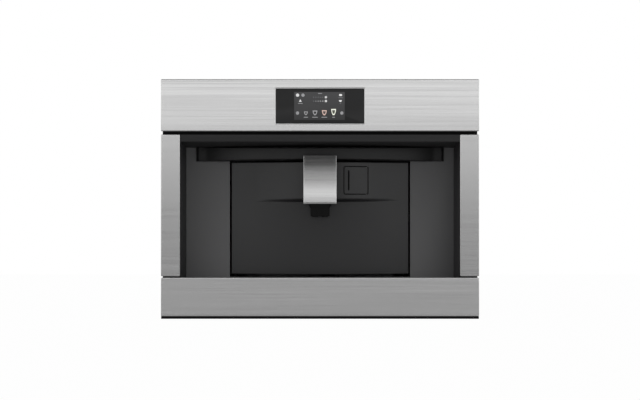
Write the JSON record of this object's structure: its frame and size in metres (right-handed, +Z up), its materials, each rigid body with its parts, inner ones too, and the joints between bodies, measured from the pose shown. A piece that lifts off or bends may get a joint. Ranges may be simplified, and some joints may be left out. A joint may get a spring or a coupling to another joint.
{
  "type": "built-in coffee machine",
  "caption": "Built-in coffee machine with a brushed steel front, a cup niche with a height-adjustable spout, a swinging service door, a pull-out drip tray and telescopic runners.",
  "frame": {"origin": "on the cabinet floor, under the middle of the machine", "axes": "+X to the right as seen from the front, -Y towards the user, +Z up"},
  "size_m": [0.595, 0.412, 0.449],
  "materials": {
    "steel_front": "fine horizontal brushing",
    "polished_steel": "smooth",
    "sheet_metal": "bare zinc-coated sheet",
    "rail_steel": "zinc-plated",
    "display_glass": "dark printed glass, gloss",
    "lens": "clear diffuser",
    "niche_moulding": "fine grain, satin",
    "door_moulding": "fine grain, satin",
    "black_moulding": "matte",
    "grey_moulding": "matte",
    "smoke_plastic": "smoked, clear",
    "signal_red": "satin",
    "silicone": "translucent"
  },
  "bodies": {
    "cabinet": {"left_cabinet_rail": "rail_steel", "left_cabinet_bracket": "rail_steel", "right_cabinet_rail": "rail_steel", "right_cabinet_bracket": "rail_steel"},
    "middle_runners": {"left_middle_rail": "rail_steel", "right_middle_rail": "rail_steel"},
    "machine": {"left_machine_rail": "rail_steel", "right_machine_rail": "rail_steel", "control_fascia": "steel_front", "display_glass": "display_glass", "display_module": "black_moulding", "left_post": "steel_front", "right_post": "steel_front", "front_frame": "black_moulding", "plinth_strip": "niche_moulding", "niche_liner": "niche_moulding", "hood": "niche_moulding", "cup_lamps": "lens", "lower_door_pin": "polished_steel", "upper_door_pin": "polished_steel", "catch_magnet": "black_moulding", "steam_connector": "polished_steel", "brew_compartment": "grey_moulding", "grounds_container": "grey_moulding", "infuser": "grey_moulding", "base_pan": "sheet_metal", "left_wall": "sheet_metal", "right_wall": "sheet_metal", "back_wall": "sheet_metal", "top_cover": "sheet_metal", "equipment_shelf": "sheet_metal", "bean_container": "smoke_plastic", "ground_coffee_funnel": "grey_moulding", "grinder": "black_moulding", "tank_seat": "black_moulding", "pump": "black_moulding", "boiler": "sheet_metal", "tank_hose": "silicone", "pump_hose": "silicone", "steam_hose": "silicone", "mains_inlet": "black_moulding", "control_box": "black_moulding"},
    "service_door": {"service_door": "door_moulding", "door_inner_panel": "grey_moulding", "spout_guide": "grey_moulding", "flap_pin": "polished_steel"},
    "coffee_spout": {"spout_cover": "steel_front", "spout_carrier": "black_moulding", "spout_nozzle": "black_moulding"},
    "connector_flap": {"connector_flap": "door_moulding"},
    "drip_tray": {"drip_tray": "grey_moulding", "tray_front": "steel_front", "cup_grate": "polished_steel"},
    "float": {"float_indicator": "signal_red"},
    "water_tank": {"water_tank": "smoke_plastic"},
    "tank_lid": {"tank_lid": "grey_moulding"},
    "bean_lid": {"bean_lid": "grey_moulding"},
    "ground_coffee_lid": {"ground_coffee_lid": "grey_moulding"},
    "grinder_knob": {"grinder_knob": "black_moulding"},
    "main_switch": {"main_switch": "signal_red"}
  },
  "joints": [
    {"name": "machine_slide", "type": "slide", "parent": "cabinet", "child": "machine", "axis": [0, -1, 0], "range_m": [0, 0.3]},
    {"name": "middle_runner_slide", "type": "slide", "parent": "cabinet", "child": "middle_runners", "axis": [0, -1, 0], "range_m": [0, 0.15]},
    {"name": "service_door_hinge", "type": "hinge", "parent": "machine", "child": "service_door", "pos_m": [-0.166, -0.095, 0.1865], "axis": [0, 0, -1], "range_deg": [0, 98]},
    {"name": "spout_slide", "type": "slide", "parent": "service_door", "child": "coffee_spout", "axis": [0, 0, -1], "range_m": [0, 0.05]},
    {"name": "connector_flap_hinge", "type": "hinge", "parent": "service_door", "child": "connector_flap", "pos_m": [0.091, -0.12138, 0.26105], "axis": [0, 0, 1], "range_deg": [0, 85]},
    {"name": "drip_tray_slide", "type": "slide", "parent": "machine", "child": "drip_tray", "axis": [0, -1, 0], "range_m": [0, 0.2]},
    {"name": "float_rise", "type": "slide", "parent": "drip_tray", "child": "float", "axis": [0, 0, 1], "range_m": [0, 0.006]},
    {"name": "water_tank_slide", "type": "slide", "parent": "machine", "child": "water_tank", "axis": [1, 0, 0], "range_m": [0, 0.1]},
    {"name": "tank_lid_hinge", "type": "hinge", "parent": "water_tank", "child": "tank_lid", "pos_m": [0.1842, 0.05, 0.3203], "axis": [0, -1, 0], "range_deg": [0, 80]},
    {"name": "bean_lid_hinge", "type": "hinge", "parent": "machine", "child": "bean_lid", "pos_m": [-0.025, 0.194, 0.4413], "axis": [-1, 0, 0], "range_deg": [0, 75]},
    {"name": "ground_coffee_lid_hinge", "type": "hinge", "parent": "machine", "child": "ground_coffee_lid", "pos_m": [0.14, 0.148, 0.4413], "axis": [-1, 0, 0], "range_deg": [0, 75]},
    {"name": "grinder_knob_turn", "type": "hinge", "parent": "machine", "child": "grinder_knob", "pos_m": [0.14, 0.04, 0.444], "axis": [0, 0, 1], "range_deg": [0, 270]},
    {"name": "main_switch_rock", "type": "hinge", "parent": "machine", "child": "main_switch", "pos_m": [-0.168, 0.1977, 0.06], "axis": [-1, 0, 0], "range_deg": [0, 24]}
  ],
  "couplings": [
    {"joint": "middle_runner_slide", "follows": "machine_slide", "ratio": 0.5}
  ]
}
